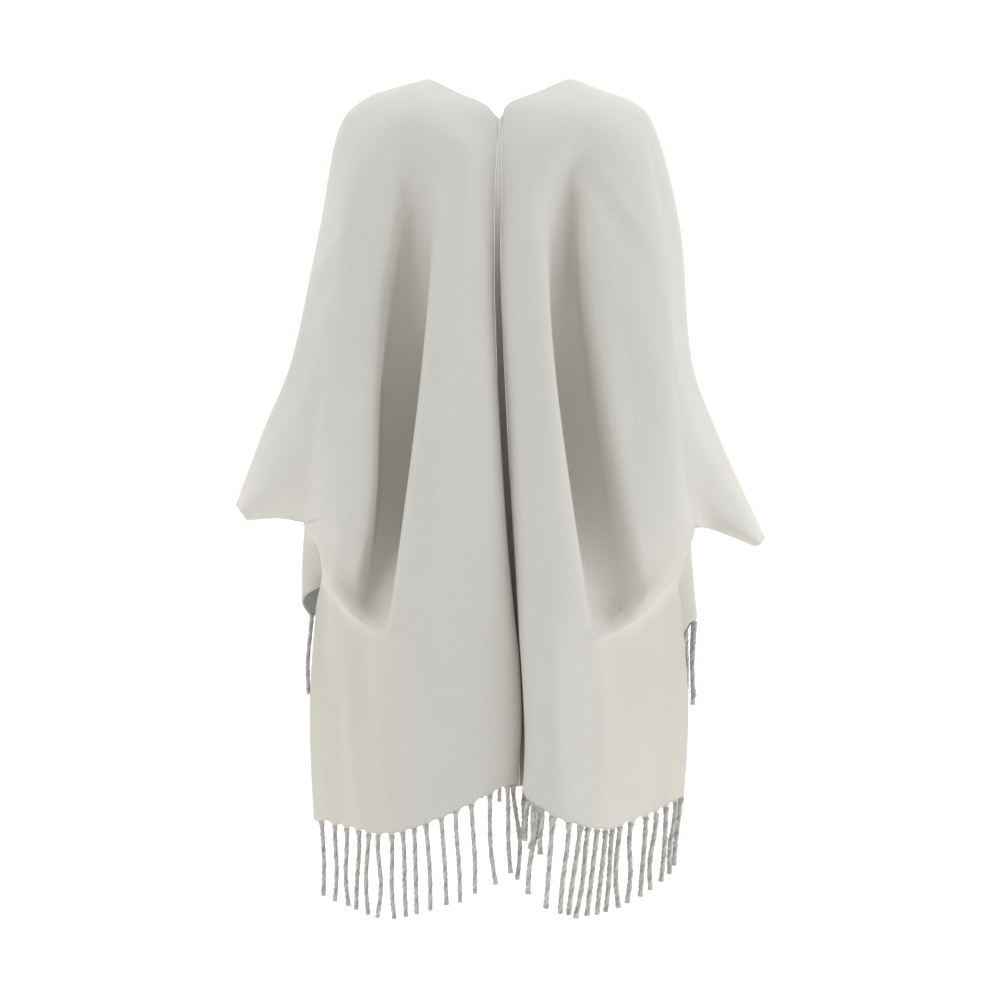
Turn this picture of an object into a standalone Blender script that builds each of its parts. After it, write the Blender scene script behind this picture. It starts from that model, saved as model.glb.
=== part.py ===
"""Ruana-style poncho in reversible felted wool, worn open at the front.

Lengths are in millimetres until a mesh is made, then metres, +Z up. X runs
across the shoulders, Y from the back (negative) to the front (positive) and
Z is height above the middle of the shoulders.

Each half is one long strip of cloth: back hem, up over the shoulder and the
arm, and down to the front hem. The wing over the arm is folded along the arm
and joined along the underarm. Below the underarm the sides are open. The two
halves meet at a narrow band down the centre back.
"""
import bpy
import numpy as np

MM = 0.001
CLOTH = 2.8          # thickness of the felted cloth
SEAM_GAP = 0.3       # space left between pieces that are sewn together
WING_ROOM = 6.0      # least room between the wing's two layers
BAND_WALL = 2.0      # thickness of the centre back band
BAND_SIDES_TOP = -24.0   # height of the V of the neck at the band's sides
BAND_MIDDLE_TOP = -31.0  # and at its middle
BAND_EASE = 0.6      # extra room where the halves' edges lean over the band
FRINGE_REACH = 96.0  # how far the tassels hang below a hem
FRINGE_WALL = 4.0    # thickness of the fringe taken as one piece
ACROSS_STEPS = 2     # facets between two fold lines
FRONT_HEM_STEPS, FRONT_STEPS = 4, 8
BACK_STEPS, POCKET_STEPS, TUCK_STEPS, SKIRT_STEPS = 12, 4, 1, 6

IVORY = (0.67, 0.655, 0.62)
HEATHER = (0.40, 0.39, 0.38)

# A table for each side and face. Its folds run from the shoulder to the hem:
# edge (front opening, neck and centre back seam), groove, lobe, lobe_side,
# foot, valley, sleeve_fold, arm, elbow_line and side. The wing's are forearm
# and cuff. Columns: level, across, depth, height.
# --- fold tables ---
LEFT_BACK = {
    "edge": (
        ("ridge", -89, 0, 24),
        ("yoke", -50, -36, 4),
        ("cap", -14, -58, -15),
        ("nape", -5, -70, -32),
        ("blade", -7, -90, -115),
        ("loin", -8, -90, -221),
        ("elbow", -4, -78, -350),
        ("underarm", 2, -72, -486),
        ("pocket", 8, -72, -569),
        ("swag", 15, -76, -645),
        ("tuck", 17, -78, -657),
        ("skirt", 21, -92, -760),
        ("hem", 21, -98, -816),
    ),
    "groove": (
        ("ridge", -98, -3, 21),
        ("yoke", -70, -42, 1),
        ("cap", -38, -64, -19),
        ("nape", -16, -80, -49),
        ("blade", -15, -102, -119),
        ("loin", -17, -125, -226),
        ("elbow", -12, -142, -352),
        ("underarm", -4, -148, -486),
        ("pocket", 3, -143, -567),
        ("swag", 13, -133, -643),
        ("tuck", 15, -131, -655),
        ("skirt", 19, -127, -758),
        ("hem", 7, -132, -817),
    ),
    "lobe": (
        ("ridge", -109, -5, 18),
        ("yoke", -87, -55, -8),
        ("cap", -61, -82, -38),
        ("nape", -42, -100, -69),
        ("blade", -40, -121, -132),
        ("loin", -44, -139, -231),
        ("elbow", -43, -152, -355),
        ("underarm", -46, -160, -486),
        ("pocket", -49, -160, -567),
        ("swag", -51, -157, -640),
        ("tuck", -51, -157, -653),
        ("skirt", -58, -153, -761),
        ("hem", -63, -150, -851),
    ),
    "lobe_side": (
        ("ridge", -122, -6, 14),
        ("yoke", -104, -60, -16),
        ("cap", -80, -88, -49),
        ("nape", -61, -105, -89),
        ("blade", -68, -118, -145),
        ("loin", -78, -135, -236),
        ("elbow", -89, -150, -355),
        ("underarm", -105, -154, -486),
        ("pocket", -119, -151, -584),
        ("swag", -126, -146, -633),
        ("tuck", -125, -143, -647),
        ("skirt", -121, -132, -762),
        ("hem", -121, -126, -872),
    ),
    "foot": (
        ("ridge", -129, -6.5, 12),
        ("yoke", -116, -61, -20),
        ("cap", -94, -86, -56),
        ("nape", -75, -97, -93),
        ("blade", -82, -99, -150),
        ("loin", -85, -80, -237),
        ("elbow", -89, -42, -352),
        ("underarm", -106, -48, -488),
        ("pocket", -126, -116, -599),
        ("swag", -135, -136, -630),
        ("tuck", -140, -127, -646),
        ("skirt", -139, -123, -760),
        ("hem", -132, -118, -874),
    ),
    "valley": (
        ("ridge", -135, -7, 10),
        ("yoke", -127, -62, -24),
        ("cap", -115, -84, -63),
        ("nape", -106, -87, -99),
        ("blade", -111, -77, -154),
        ("loin", -123, -62, -241),
        ("elbow", -138, -50, -353),
        ("underarm", -144, -50, -489),
        ("pocket", -154, -88, -602),
        ("swag", -155, -124, -624),
        ("tuck", -157, -105, -643),
        ("skirt", -153, -108, -759),
        ("hem", -144, -108, -875),
    ),
    "sleeve_fold": (
        ("ridge", -155, -8, 3),
        ("yoke", -149, -60, -32),
        ("cap", -141, -88, -71),
        ("nape", -128, -100, -109),
        ("blade", -129, -106, -166),
        ("loin", -140, -112, -246),
        ("elbow", -146, -116, -357),
        ("underarm", -151, -116, -489),
        ("pocket", -172, -101, -586),
        ("swag", -176, -117, -606),
        ("tuck", -176, -88, -632),
        ("skirt", -173, -92, -750),
        ("hem", -164, -86, -873),
    ),
    "arm": (
        ("ridge", -186, -12, -24),
        ("yoke", -176, -58, -59),
        ("cap", -171, -84, -97),
        ("nape", -170, -96, -137),
        ("blade", -171, -103, -187),
        ("loin", -173, -109, -260),
        ("elbow", -176, -111, -363),
        ("underarm", -180, -108, -501),
        ("pocket", -188, -88, -551),
        ("swag", -195, -97, -583),
        ("tuck", -196, -60, -610),
        ("skirt", -190, -68, -742),
        ("hem", -184, -56, -871),
    ),
    "elbow_line": (
        ("ridge", -215, -24, -160),
        ("yoke", -206, -60, -184),
        ("cap", -200, -80, -211),
        ("nape", -199, -90, -242),
        ("blade", -199, -95, -280),
        ("loin", -201, -97, -330),
        ("elbow", -205, -91, -400),
        ("underarm", -206, -76, -501),
        ("pocket", -205, -58, -539),
        ("swag", -203, -72, -578),
        ("tuck", -206, -34, -603),
        ("skirt", -210, -44, -732),
        ("hem", -205, -32, -868),
    ),
    "side": (
        ("ridge", -248, -32, -316),
        ("yoke", -237, -54, -332),
        ("cap", -232, -64, -350),
        ("nape", -229, -68, -369),
        ("blade", -228, -68, -393),
        ("loin", -228, -62, -423),
        ("elbow", -230, -48, -461),
        ("underarm", -232, -20, -506),
        ("pocket", -216, -28, -538),
        ("swag", -211, -42, -564),
        ("tuck", -216, -22, -584),
        ("skirt", -226, -22, -719),
        ("hem", -222, -6, -863),
    ),
}
LEFT_BACK_WING = {
    "forearm": (
        ("ridge", -283, 28, -392),
        ("wing_1", -275, 2, -404),
        ("wing_2", -269, -13, -419),
        ("wing_3", -266, -20, -435),
        ("wing_4", -264, -22, -451),
        ("wing_5", -263, -17, -468),
        ("wing_6", -263, -5, -484),
        ("underarm", -264, 16, -501),
    ),
    "cuff": (
        ("ridge", -323, 100, -486),
        ("wing_1", -320, 78, -488),
        ("wing_2", -317, 60, -490),
        ("wing_3", -315, 50, -493),
        ("wing_4", -313, 45, -495),
        ("wing_5", -310, 44, -498),
        ("wing_6", -309, 48, -501),
        ("underarm", -307, 62, -504),
    ),
}
LEFT_FRONT = {
    "edge": (
        ("front_yoke", -86, 34, 4),
        ("front_cap", -78, 66, -36),
        ("breast", -64, 94, -112),
        ("chest", -42, 118, -246),
        ("front_underarm", -16, 132, -443),
        ("front_skirt", -4, 136, -604),
        ("front_hem", 4, 134, -759),
    ),
    "groove": (
        ("front_yoke", -100, 36, -1),
        ("front_cap", -96, 70, -41),
        ("breast", -86, 98, -118),
        ("chest", -68, 124, -248),
        ("front_underarm", -46, 139, -449),
        ("front_skirt", -36, 143, -604),
        ("front_hem", -30, 142, -749),
    ),
    "lobe": (
        ("front_yoke", -114, 38, -6),
        ("front_cap", -115, 72, -48),
        ("breast", -109, 102, -127),
        ("chest", -95, 128, -253),
        ("front_underarm", -78, 139, -455),
        ("front_skirt", -71, 142, -600),
        ("front_hem", -66, 141, -735),
    ),
    "lobe_side": (
        ("front_yoke", -128, 40, -11),
        ("front_cap", -133, 72, -56),
        ("breast", -131, 102, -136),
        ("chest", -123, 126, -260),
        ("front_underarm", -111, 134, -461),
        ("front_skirt", -105, 135, -594),
        ("front_hem", -103, 133, -717),
    ),
    "foot": (
        ("front_yoke", -136, 40, -14),
        ("front_cap", -141, 71, -61),
        ("breast", -142, 101, -143),
        ("chest", -137, 122, -266),
        ("front_underarm", -127, 129, -465),
        ("front_skirt", -122, 128, -589),
        ("front_hem", -121, 126, -706),
    ),
    "valley": (
        ("front_yoke", -144, 40, -18),
        ("front_cap", -151, 70, -66),
        ("breast", -154, 98, -149),
        ("chest", -151, 118, -271),
        ("front_underarm", -143, 123, -469),
        ("front_skirt", -139, 121, -585),
        ("front_hem", -139, 118, -694),
    ),
    "sleeve_fold": (
        ("front_yoke", -165, 38, -27),
        ("front_cap", -172, 66, -78),
        ("breast", -177, 90, -162),
        ("chest", -179, 107, -283),
        ("front_underarm", -176, 107, -478),
        ("front_skirt", -173, 101, -574),
        ("front_hem", -175, 98, -669),
    ),
    "arm": (
        ("front_yoke", -188, 30, -57),
        ("front_cap", -194, 54, -106),
        ("breast", -201, 74, -185),
        ("chest", -206, 88, -299),
        ("front_underarm", -206, 80, -487),
        ("front_skirt", -206, 72, -563),
        ("front_hem", -210, 68, -641),
    ),
    "elbow_line": (
        ("front_yoke", -218, 10, -189),
        ("front_cap", -222, 30, -226),
        ("breast", -227, 44, -274),
        ("chest", -230, 54, -359),
        ("front_underarm", -232, 34, -499),
        ("front_skirt", -237, 28, -543),
        ("front_hem", -238, 26, -601),
    ),
    "side": (
        ("front_yoke", -247, -2, -340),
        ("front_cap", -243, 16, -364),
        ("breast", -241, 26, -396),
        ("chest", -239, 26, -441),
        ("front_underarm", -232, -20, -506),
        ("front_skirt", -217, -6, -538),
        ("front_hem", -213, 6, -582),
    ),
}
LEFT_FRONT_WING = {
    "forearm": (
        ("front_wing_1", -281, 56, -410),
        ("front_wing_2", -276, 74, -430),
        ("front_wing_3", -272, 82, -451),
        ("front_wing_4", -268, 76, -475),
        ("underarm", -264, 16, -501),
    ),
    "cuff": (
        ("front_wing_1", -322, 124, -484),
        ("front_wing_2", -314, 142, -481),
        ("front_wing_3", -307, 144, -485),
        ("front_wing_4", -303, 120, -494),
        ("underarm", -307, 62, -504),
    ),
}
RIGHT_BACK = {
    "edge": (
        ("ridge", 86, 0, 24),
        ("yoke", 45, -36, 5),
        ("cap", 8, -58, -13),
        ("nape", 4, -70, -32),
        ("blade", 3, -90, -115),
        ("loin", 2, -90, -221),
        ("elbow", 8, -78, -350),
        ("underarm", 15, -72, -486),
        ("pocket", 21, -72, -569),
        ("swag", 26, -78, -645),
        ("tuck", 27, -80, -657),
        ("skirt", 32, -92, -760),
        ("hem", 31, -99, -820),
    ),
    "groove": (
        ("ridge", 96, -3, 21),
        ("yoke", 67, -42, 1),
        ("cap", 35, -64, -17),
        ("nape", 13, -80, -46),
        ("blade", 9, -101, -119),
        ("loin", 6, -122, -225),
        ("elbow", 16, -142, -352),
        ("underarm", 23, -151, -486),
        ("pocket", 28, -154, -567),
        ("swag", 31, -156, -642),
        ("tuck", 32, -157, -654),
        ("skirt", 36, -157, -756),
        ("hem", 32, -155, -828),
    ),
    "lobe": (
        ("ridge", 108, -5, 16),
        ("yoke", 85, -55, -9),
        ("cap", 60, -82, -38),
        ("nape", 40, -99, -69),
        ("blade", 32, -119, -132),
        ("loin", 30, -137, -231),
        ("elbow", 37, -152, -355),
        ("underarm", 47, -164, -486),
        ("pocket", 55, -168, -567),
        ("swag", 60, -170, -639),
        ("tuck", 61, -170, -652),
        ("skirt", 65, -170, -759),
        ("hem", 67, -166, -852),
    ),
    "lobe_side": (
        ("ridge", 121, -6, 11),
        ("yoke", 104, -60, -18),
        ("cap", 80, -88, -51),
        ("nape", 59, -104, -86),
        ("blade", 50, -116, -143),
        ("loin", 53, -134, -236),
        ("elbow", 63, -150, -355),
        ("underarm", 80, -156, -486),
        ("pocket", 93, -155, -573),
        ("swag", 99, -150, -638),
        ("tuck", 100, -147, -652),
        ("skirt", 107, -142, -761),
        ("hem", 107, -144, -864),
    ),
    "foot": (
        ("ridge", 128, -6.5, 8),
        ("yoke", 114, -61, -22),
        ("cap", 91, -86, -57),
        ("nape", 70, -98, -93),
        ("blade", 65, -100, -148),
        ("loin", 61, -84, -236),
        ("elbow", 62, -46, -352),
        ("underarm", 80, -46, -487),
        ("pocket", 105, -116, -602),
        ("swag", 113, -142, -636),
        ("tuck", 116, -132, -652),
        ("skirt", 122, -132, -760),
        ("hem", 118, -132, -867),
    ),
    "valley": (
        ("ridge", 135, -7, 6),
        ("yoke", 123, -62, -27),
        ("cap", 106, -86, -63),
        ("nape", 88, -86, -100),
        ("blade", 87, -77, -154),
        ("loin", 90, -62, -241),
        ("elbow", 103, -58, -354),
        ("underarm", 121, -56, -489),
        ("pocket", 136, -89, -605),
        ("swag", 129, -130, -630),
        ("tuck", 132, -110, -650),
        ("skirt", 138, -114, -758),
        ("hem", 130, -116, -868),
    ),
    "sleeve_fold": (
        ("ridge", 156, -8, -2),
        ("yoke", 148, -60, -35),
        ("cap", 133, -88, -73),
        ("nape", 106, -100, -112),
        ("blade", 103, -107, -167),
        ("loin", 109, -112, -246),
        ("elbow", 125, -114, -357),
        ("underarm", 147, -98, -489),
        ("pocket", 168, -90, -579),
        ("swag", 159, -119, -613),
        ("tuck", 160, -82, -638),
        ("skirt", 162, -88, -751),
        ("hem", 158, -78, -862),
    ),
    "arm": (
        ("ridge", 177, -12, -20),
        ("yoke", 172, -58, -61),
        ("cap", 163, -84, -100),
        ("nape", 155, -97, -140),
        ("blade", 150, -106, -189),
        ("loin", 150, -114, -262),
        ("elbow", 155, -109, -365),
        ("underarm", 169, -94, -498),
        ("pocket", 179, -80, -560),
        ("swag", 176, -101, -600),
        ("tuck", 180, -60, -624),
        ("skirt", 183, -64, -743),
        ("hem", 185, -42, -854),
    ),
    "elbow_line": (
        ("ridge", 213, -24, -148),
        ("yoke", 202, -60, -177),
        ("cap", 196, -80, -207),
        ("nape", 193, -92, -240),
        ("blade", 191, -98, -280),
        ("loin", 192, -100, -332),
        ("elbow", 198, -91, -405),
        ("underarm", 207, -68, -504),
        ("pocket", 204, -54, -546),
        ("swag", 194, -74, -583),
        ("tuck", 199, -36, -607),
        ("skirt", 204, -42, -732),
        ("hem", 204, -24, -845),
    ),
    "side": (
        ("ridge", 228, -32, -316),
        ("yoke", 221, -54, -331),
        ("cap", 218, -64, -348),
        ("nape", 217, -68, -367),
        ("blade", 217, -68, -390),
        ("loin", 220, -62, -421),
        ("elbow", 224, -48, -461),
        ("underarm", 232, -20, -512),
        ("pocket", 219, -28, -555),
        ("swag", 212, -42, -581),
        ("tuck", 215, -22, -602),
        ("skirt", 224, -20, -725),
        ("hem", 219, -6, -838),
    ),
}
RIGHT_BACK_WING = {
    "forearm": (
        ("ridge", 262, 28, -400),
        ("wing_1", 256, 2, -413),
        ("wing_2", 252, -13, -427),
        ("wing_3", 250, -20, -443),
        ("wing_4", 248, -22, -459),
        ("wing_5", 249, -17, -475),
        ("wing_6", 249, -5, -493),
        ("underarm", 251, 16, -513),
    ),
    "cuff": (
        ("ridge", 323, 100, -524),
        ("wing_1", 322, 78, -527),
        ("wing_2", 319, 60, -529),
        ("wing_3", 317, 50, -531),
        ("wing_4", 315, 45, -533),
        ("wing_5", 313, 44, -534),
        ("wing_6", 310, 48, -534),
        ("underarm", 309, 62, -535),
    ),
}
RIGHT_FRONT = {
    "edge": (
        ("front_yoke", 82, 34, 4),
        ("front_cap", 74, 66, -36),
        ("breast", 64, 94, -112),
        ("chest", 49, 118, -246),
        ("front_underarm", 37, 132, -443),
        ("front_skirt", 33, 136, -604),
        ("front_hem", 35, 132, -812),
    ),
    "groove": (
        ("front_yoke", 97, 36, -1),
        ("front_cap", 93, 70, -41),
        ("breast", 85, 98, -118),
        ("chest", 73, 124, -248),
        ("front_underarm", 64, 139, -449),
        ("front_skirt", 63, 143, -606),
        ("front_hem", 64, 140, -798),
    ),
    "lobe": (
        ("front_yoke", 111, 38, -6),
        ("front_cap", 112, 72, -48),
        ("breast", 108, 102, -127),
        ("chest", 99, 128, -253),
        ("front_underarm", 94, 139, -455),
        ("front_skirt", 95, 142, -604),
        ("front_hem", 98, 139, -778),
    ),
    "lobe_side": (
        ("front_yoke", 127, 40, -11),
        ("front_cap", 130, 72, -56),
        ("breast", 130, 102, -136),
        ("chest", 126, 126, -260),
        ("front_underarm", 125, 134, -461),
        ("front_skirt", 127, 135, -597),
        ("front_hem", 131, 132, -752),
    ),
    "foot": (
        ("front_yoke", 135, 40, -14),
        ("front_cap", 139, 71, -61),
        ("breast", 141, 101, -143),
        ("chest", 139, 122, -266),
        ("front_underarm", 141, 129, -465),
        ("front_skirt", 144, 128, -594),
        ("front_hem", 147, 126, -737),
    ),
    "valley": (
        ("front_yoke", 143, 40, -18),
        ("front_cap", 147, 70, -66),
        ("breast", 152, 98, -149),
        ("chest", 153, 118, -271),
        ("front_underarm", 155, 123, -469),
        ("front_skirt", 160, 121, -590),
        ("front_hem", 163, 118, -721),
    ),
    "sleeve_fold": (
        ("front_yoke", 163, 38, -27),
        ("front_cap", 168, 66, -78),
        ("breast", 174, 90, -162),
        ("chest", 178, 107, -283),
        ("front_underarm", 184, 107, -478),
        ("front_skirt", 190, 101, -578),
        ("front_hem", 191, 98, -688),
    ),
    "arm": (
        ("front_yoke", 185, 30, -57),
        ("front_cap", 189, 54, -106),
        ("breast", 195, 74, -185),
        ("chest", 199, 88, -299),
        ("front_underarm", 209, 80, -489),
        ("front_skirt", 215, 72, -568),
        ("front_hem", 216, 68, -658),
    ),
    "elbow_line": (
        ("front_yoke", 214, 10, -175),
        ("front_cap", 217, 30, -214),
        ("breast", 221, 44, -264),
        ("chest", 225, 54, -356),
        ("front_underarm", 228, 34, -502),
        ("front_skirt", 231, 28, -555),
        ("front_hem", 237, 26, -626),
    ),
    "side": (
        ("front_yoke", 228, -2, -338),
        ("front_cap", 229, 16, -362),
        ("breast", 231, 27, -393),
        ("chest", 232, 26, -444),
        ("front_underarm", 232, -20, -512),
        ("front_skirt", 219, -6, -542),
        ("front_hem", 211, 6, -652),
    ),
}
RIGHT_FRONT_WING = {
    "forearm": (
        ("front_wing_1", 261, 56, -418),
        ("front_wing_2", 259, 74, -439),
        ("front_wing_3", 256, 82, -462),
        ("front_wing_4", 254, 76, -486),
        ("underarm", 251, 16, -513),
    ),
    "cuff": (
        ("front_wing_1", 321, 124, -523),
        ("front_wing_2", 312, 142, -518),
        ("front_wing_3", 305, 144, -521),
        ("front_wing_4", 302, 120, -528),
        ("underarm", 309, 62, -535),
    ),
}
# --- end of fold tables ---

BODY_FOLDS = tuple(LEFT_BACK)
WING_FOLDS = tuple(LEFT_BACK_WING)


def columns(rows):
    return np.array([row[1:] for row in rows], float)


def slopes(points):
    """Chord steps and tangents of a smooth curve through the points."""
    step = np.sqrt(np.linalg.norm(np.diff(points, axis=0), axis=1))
    step = np.maximum(step, 1e-6)[:, None]
    secant = np.diff(points, axis=0) / step
    tangent = np.empty_like(points)
    tangent[1:-1] = (secant[1:] * step[:-1] + secant[:-1] * step[1:]) / (step[1:] + step[:-1])
    tangent[0] = 1.5 * secant[0] - 0.5 * tangent[1]
    tangent[-1] = 1.5 * secant[-1] - 0.5 * tangent[-2]
    return step, tangent


def between(points, step, tangent, i, t):
    t = np.asarray(t, float)[:, None]
    a, b = points[i], points[i + 1]
    m, n = tangent[i] * step[i], tangent[i + 1] * step[i]
    return (
        (2 * t**3 - 3 * t**2 + 1) * a
        + (t**3 - 2 * t**2 + t) * m
        + (3 * t**2 - 2 * t**3) * b
        + (t**3 - t**2) * n
    )


def across(points, steps):
    step, tangent = slopes(points)
    t = np.arange(steps) / steps
    parts = [between(points, step, tangent, i, t) for i in range(len(points) - 1)]
    return np.vstack(parts + [points[-1:]])


def down(points, marks, counts):
    """The curve through the points, cut between the marked ones into equal lengths."""
    step, tangent = slopes(points)
    t = np.arange(24) / 24
    out = []
    for (a, b), count in zip(zip(marks[:-1], marks[1:]), counts):
        fine = np.vstack([between(points, step, tangent, i, t) for i in range(a, b)] + [points[b:b + 1]])
        along = np.r_[0, np.cumsum(np.linalg.norm(np.diff(fine, axis=0), axis=1))]
        want = np.linspace(0, along[-1], count + 1)[:-1]
        out.append(np.column_stack([np.interp(want, along, fine[:, c]) for c in range(3)]))
    return np.vstack(out + [points[marks[-1]:marks[-1] + 1]])


def net(back, back_wing, front, front_wing, counts, steps):
    """Rows of points over one half, from the front hem over the shoulder to the back hem."""
    hem_steps, front_steps, back_steps = counts[:3]
    body = []
    for fold in BODY_FOLDS:
        fore, rear = columns(front[fold])[::-1], columns(back[fold])
        ridge = len(fore)
        names = [row[0] for row in back[fold]]
        marks = [0, 2, ridge] + [ridge + names.index(name) for name in ("underarm", "swag", "tuck", "hem")]
        body.append(down(np.vstack([fore, rear]), marks, counts))
    wing = []
    for fold in WING_FOLDS:
        fore, rear = columns(front_wing[fold])[::-1], columns(back_wing[fold])
        marks = [0, len(fore), len(fore) + len(rear) - 1]
        wing.append(down(np.vstack([fore, rear]), marks, (front_steps, back_steps)))
    first, last = hem_steps, hem_steps + front_steps + back_steps
    rows = []
    for r in range(len(body[0])):
        line = [column[r] for column in body]
        if first <= r <= last:
            line += [column[r - first] for column in wing]
        rows.append(across(np.array(line), steps))
    width = (len(BODY_FOLDS) - 1) * steps
    rows[first][width:] = rows[last][width:]
    seam, top = rows[last], rows[first + front_steps]
    for i in range(1, front_steps):
        # the wing's front layer stays clear of its back layer beside the seam
        fore, rear = rows[first + i], rows[last - round(i * back_steps / front_steps)]
        room = WING_ROOM * np.ones(len(fore) - width)
        for edge in (seam, top):
            room *= 1 - np.exp(-np.linalg.norm(fore[width:] - edge[width:], axis=1) / 3)
        fore[width:, 1] += np.maximum(room - (fore[width:, 1] - rear[width:, 1]), 0)
    return rows, first, last, width


def sheet(rows, first, last, width):
    """Vertices and faces of the middle surface, joined along the underarm."""
    index, points = [], []
    for r, row in enumerate(rows):
        index.append([])
        for c, p in enumerate(row):
            if r == last and c >= width:
                index[r].append(index[first][c])
            else:
                index[r].append(len(points))
                points.append(p)
    faces = []
    for r in range(len(rows) - 1):
        wide = min(len(rows[r]), len(rows[r + 1]))
        for c in range(wide - 1):
            faces.append((index[r][c], index[r][c + 1], index[r + 1][c + 1], index[r + 1][c]))
    return np.array(points), faces, index


def normals(points, faces):
    out = np.zeros_like(points)
    for face in faces:
        a, b, c, d = (points[i] for i in face)
        n = np.cross(c - a, d - b)
        for i in face:
            out[i] += n
    return out / np.linalg.norm(out, axis=1)[:, None]


def walled(points, faces, wall):
    """A closed wall of even thickness on both sides of a surface."""
    n = normals(points, faces) * (wall / 2)
    count = len(points)
    solid = [tuple(f) for f in faces] + [tuple(i + count for i in reversed(f)) for f in faces]
    used = {}
    for f in faces:
        for a, b in zip(f, f[1:] + f[:1]):
            used[(a, b)] = used.get((a, b), 0) + 1
    for a, b in used:
        if (b, a) not in used:
            solid.append((b, a, a + count, b + count))
    return np.vstack([points + n, points - n]), solid


def triangles(points, faces):
    out = []
    for f in faces:
        if len(f) == 4:
            a, b, c, d = f
            if np.linalg.norm(points[a] - points[c]) <= np.linalg.norm(points[b] - points[d]):
                out += [(a, b, c), (a, c, d)]
            else:
                out += [(a, b, d), (b, c, d)]
        else:
            out.append(f)
    return out


def finish(name, roughness, colour):
    material = bpy.data.materials.new(name)
    material.use_nodes = True
    shader = material.node_tree.nodes["Principled BSDF"]
    shader.inputs["Base Color"].default_value = (*colour, 1.0)
    shader.inputs["Roughness"].default_value = roughness
    shader.inputs["Metallic"].default_value = 0.0
    return material


def piece(name, points, faces, colour, roughness):
    mesh = bpy.data.meshes.new(name)
    mesh.from_pydata([tuple(p * MM) for p in points], [], triangles(points, faces))
    mesh.update()
    mesh.shade_smooth()
    made = bpy.data.objects.new(name, mesh)
    bpy.context.scene.collection.objects.link(made)
    mesh.materials.append(finish(name, roughness, colour))
    return made


def half(name, back, back_wing, front, front_wing):
    counts = (FRONT_HEM_STEPS, FRONT_STEPS, BACK_STEPS, POCKET_STEPS, TUCK_STEPS, SKIRT_STEPS)
    rows, first, last, width = net(back, back_wing, front, front_wing, counts, ACROSS_STEPS)
    points, faces, index = sheet(rows, first, last, width)
    solid, walls = walled(points, faces, CLOTH)
    piece(name, solid, walls, IVORY, 0.95)
    out = normals(points, faces)
    back_hem, front_hem = index[-1], index[0]
    seam = [index[r][0] for r in range(FRONT_HEM_STEPS + FRONT_STEPS, len(rows))]
    return points, out, back_hem, front_hem, seam


def fringe(name, points, out, hem):
    """The reach of the tassels below a hem, as one thin wall under it."""
    line = points[hem]
    along = np.gradient(line[:, :2], axis=0)
    steep = np.abs(np.gradient(line[:, 2])) / np.linalg.norm(along, axis=1)
    top = line[:, 2] - np.abs(out[hem][:, 2]) * CLOTH / 2 - SEAM_GAP - steep * FRINGE_WALL / 2
    along /= np.linalg.norm(along, axis=1)[:, None]
    side = np.column_stack([-along[:, 1], along[:, 0]]) * FRINGE_WALL / 2
    count = len(hem)
    levels = []
    for sign in (1, -1):
        edge = line[:, :2] + side * sign
        levels.append(np.column_stack([edge, top]))
        levels.append(np.column_stack([edge, top - FRINGE_REACH]))
    a, b, c, d = (k * count for k in range(4))
    faces = []
    for i in range(count - 1):
        for p, q in ((a, b), (b, d), (d, c), (c, a)):
            faces.append((p + i, q + i, q + i + 1, p + i + 1))
    faces.append((a, c, d, b))
    e = count - 1
    faces.append((b + e, d + e, c + e, a + e))
    solid = np.vstack(levels)
    if volume(solid, faces) < 0:
        faces = [tuple(reversed(f)) for f in faces]
    piece(name, solid, faces, HEATHER, 0.95)


def volume(points, faces):
    total = 0.0
    for f in faces:
        for i in range(1, len(f) - 1):
            total += np.dot(points[f[0]], np.cross(points[f[i]], points[f[i + 1]]))
    return total / 6


def band(left, right):
    """The strip between the two halves from the V of the neck to the hem."""
    sides = []
    low = []
    for (points, out, _, _, seam), sign in ((left, 1), (right, -1)):
        line = points[seam]
        reach = line[:, 0] + sign * (np.abs(out[seam][:, 0]) * CLOTH / 2 + SEAM_GAP + BAND_EASE)
        keep = line[:, 2] <= BAND_SIDES_TOP + 6
        order = np.argsort(line[keep][:, 2])
        sides.append((line[keep][order][:, 2], reach[keep][order], line[keep][order][:, 1]))
        low.append(line[-1, 2])
    share = ((0.0, -1), (0.5, -1), (1.0, -1), (1.0, 1), (0.5, 1), (0.0, 1))
    levels = np.linspace(0, 1, 25)
    points = []
    for t in levels:
        for u, face in share:
            top = BAND_MIDDLE_TOP + (BAND_SIDES_TOP - BAND_MIDDLE_TOP) * abs(2 * u - 1)
            z = top + (max(low) - top) * t
            xl, xr = (np.interp(z, s[0], s[1]) for s in sides)
            y = sum(np.interp(z, s[0], s[2]) for s in sides) / 2
            points.append((xl + (xr - xl) * u, y + face * BAND_WALL / 2, z))
    points = np.array(points, float)
    ring, end = len(share), len(share) * (len(levels) - 1)
    faces = [(0, 1, 4, 5), (1, 2, 3, 4)]
    for r in range(len(levels) - 1):
        for i in range(ring):
            j = (i + 1) % ring
            faces.append((ring * r + j, ring * r + i, ring * r + ring + i, ring * r + ring + j))
    faces += [(end + 5, end + 4, end + 1, end), (end + 4, end + 3, end + 2, end + 1)]
    if volume(points, faces) < 0:
        faces = [tuple(reversed(f)) for f in faces]
    piece("centre_back_band", points, faces, IVORY, 0.9)


def main():
    for old in list(bpy.data.objects):
        bpy.data.objects.remove(old, do_unlink=True)
    left = half("left_half", LEFT_BACK, LEFT_BACK_WING, LEFT_FRONT, LEFT_FRONT_WING)
    right = half("right_half", RIGHT_BACK, RIGHT_BACK_WING, RIGHT_FRONT, RIGHT_FRONT_WING)
    band(left, right)
    fringe("fringe_back_left", left[0], left[1], left[2])
    fringe("fringe_front_left", left[0], left[1], left[3])
    fringe("fringe_back_right", right[0], right[1], right[2])
    fringe("fringe_front_right", right[0], right[1], right[3])


main()
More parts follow.
